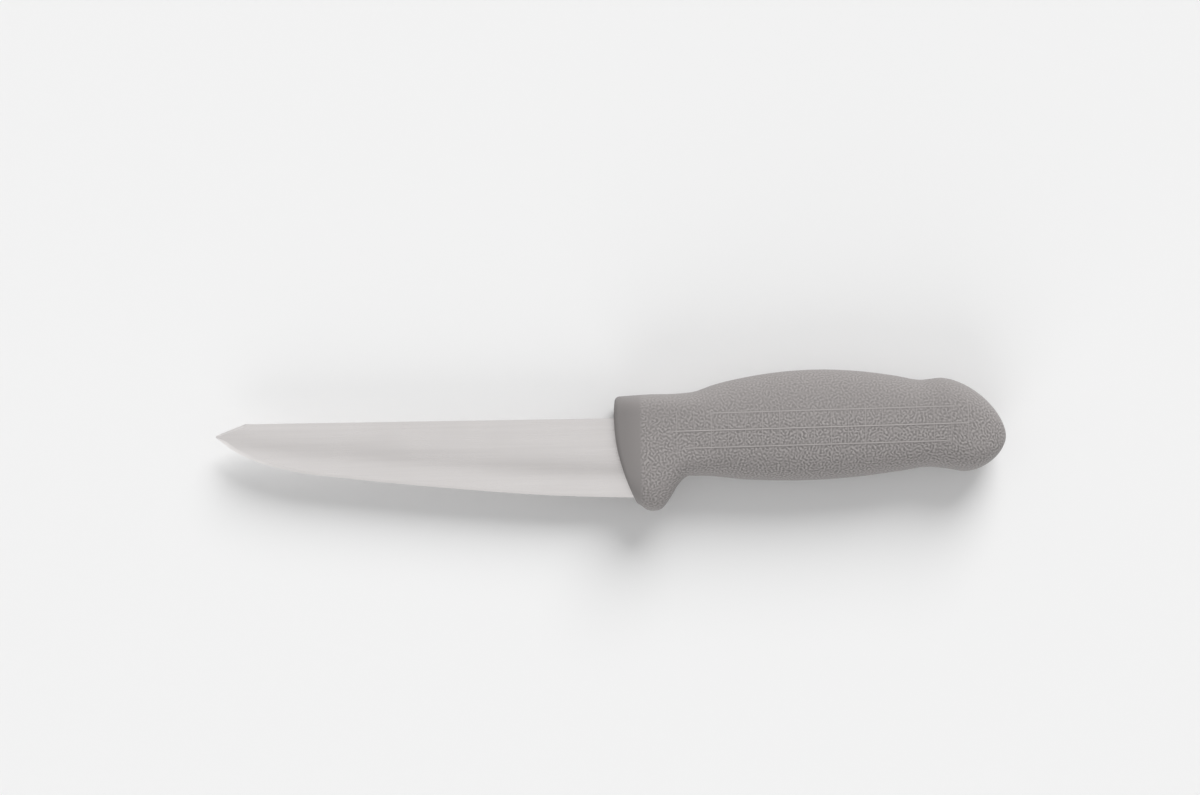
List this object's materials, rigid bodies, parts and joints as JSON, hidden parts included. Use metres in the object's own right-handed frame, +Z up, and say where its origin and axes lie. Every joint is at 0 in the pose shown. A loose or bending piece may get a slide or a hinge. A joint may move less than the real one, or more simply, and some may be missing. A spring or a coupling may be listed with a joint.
{
  "type": "butcher knife",
  "caption": "Butcher knife with a clipped point, a ground steel blade and a grey textured moulded handle with finger guard, hump and pommel.",
  "frame": {"origin": "middle of the knife's footprint, on the surface that it lies on", "axes": "+X from the tip towards the butt, +Y from the cutting edge towards the spine, +Z up through the thickness of the knife lying on its side"},
  "size_m": [0.273, 0.0478, 0.024],
  "materials": {
    "steel": "satin",
    "core": "as moulded",
    "grip": "grained"
  },
  "bodies": {
    "root": {"blade": "steel", "handle_core": "core", "handle_grip": "grip"}
  },
  "joints": []
}
